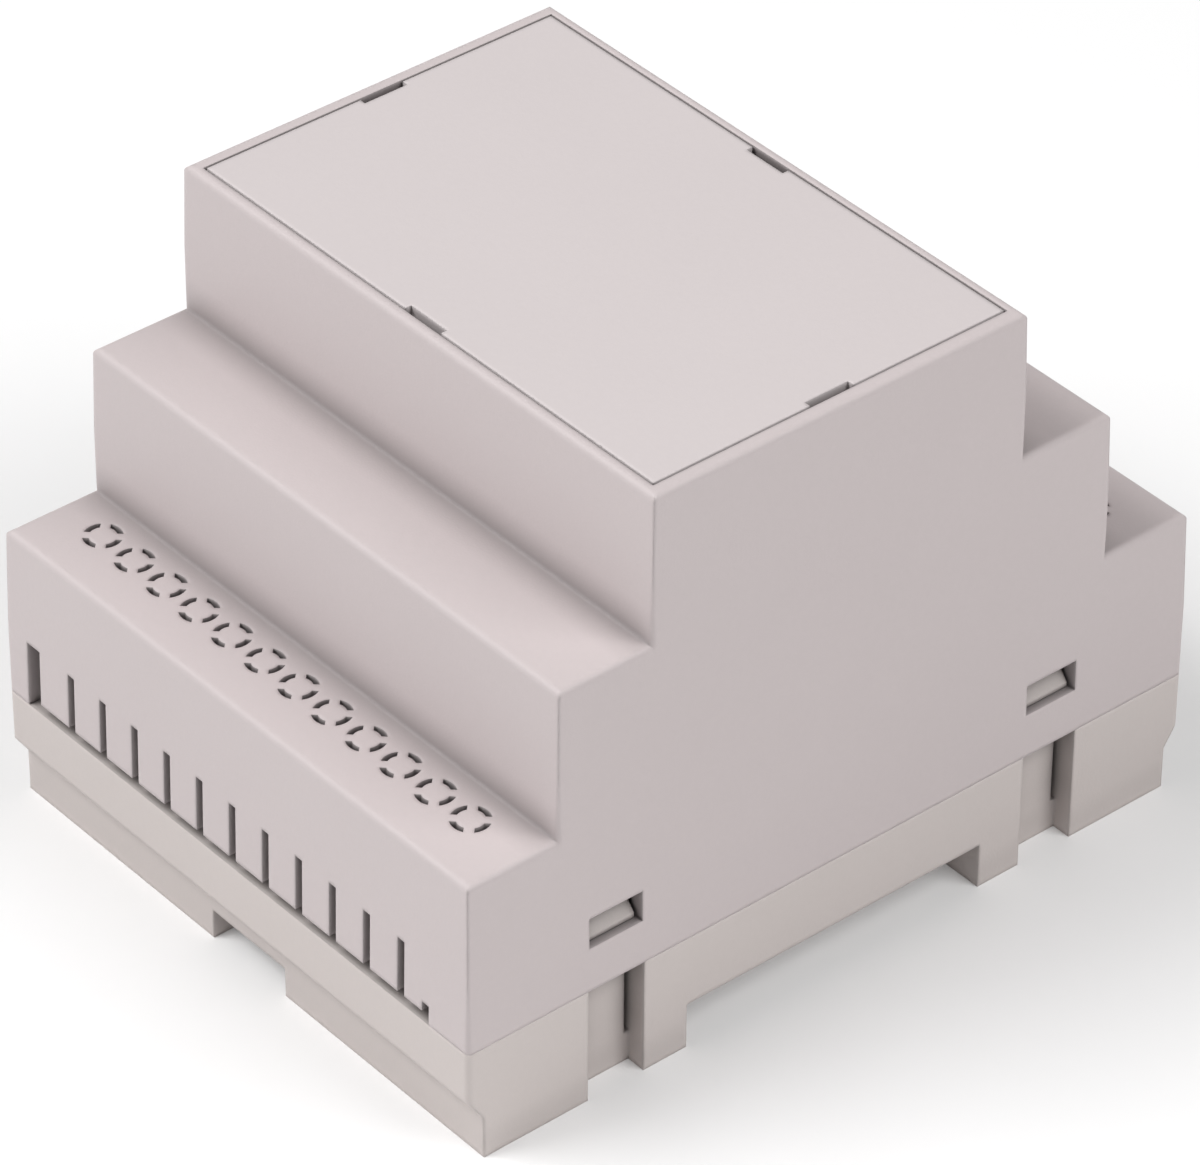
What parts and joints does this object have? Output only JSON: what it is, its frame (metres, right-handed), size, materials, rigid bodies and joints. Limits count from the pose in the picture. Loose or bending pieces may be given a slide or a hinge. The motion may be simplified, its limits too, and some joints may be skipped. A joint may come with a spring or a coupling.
{
  "type": "din rail enclosure",
  "caption": "Three-tier snap-together case for a circuit board, with a flush front panel and a sliding latch that clips to a 35 mm top-hat rail.",
  "frame": {"origin": "centre of the footprint, at the underside", "axes": "+X along the rail, +Y across the rail and away from the latch, +Z away from the rail towards the front panel"},
  "size_m": [0.071, 0.09, 0.0655],
  "materials": {
    "base": "fine-grained moulded plastic, warm light grey",
    "cover": "fine-grained moulded plastic, warm light grey",
    "front_panel": "fine-grained moulded plastic, warm light grey",
    "rail_latch": "satin moulded plastic, warm grey"
  },
  "bodies": {
    "case": {"base": "base", "cover": "cover"},
    "panel": {"front_panel": "front_panel"},
    "latch": {"rail_latch": "rail_latch"}
  },
  "joints": [
    {"name": "panel_lift", "type": "slide", "parent": "case", "child": "panel", "axis": [0, 0, 1], "range_m": [0, 0.03]},
    {"name": "rail_latch_slide", "type": "slide", "parent": "case", "child": "latch", "axis": [0, -1, 0], "range_m": [0, 0.004], "stiffness_N_per_m": 500}
  ]
}
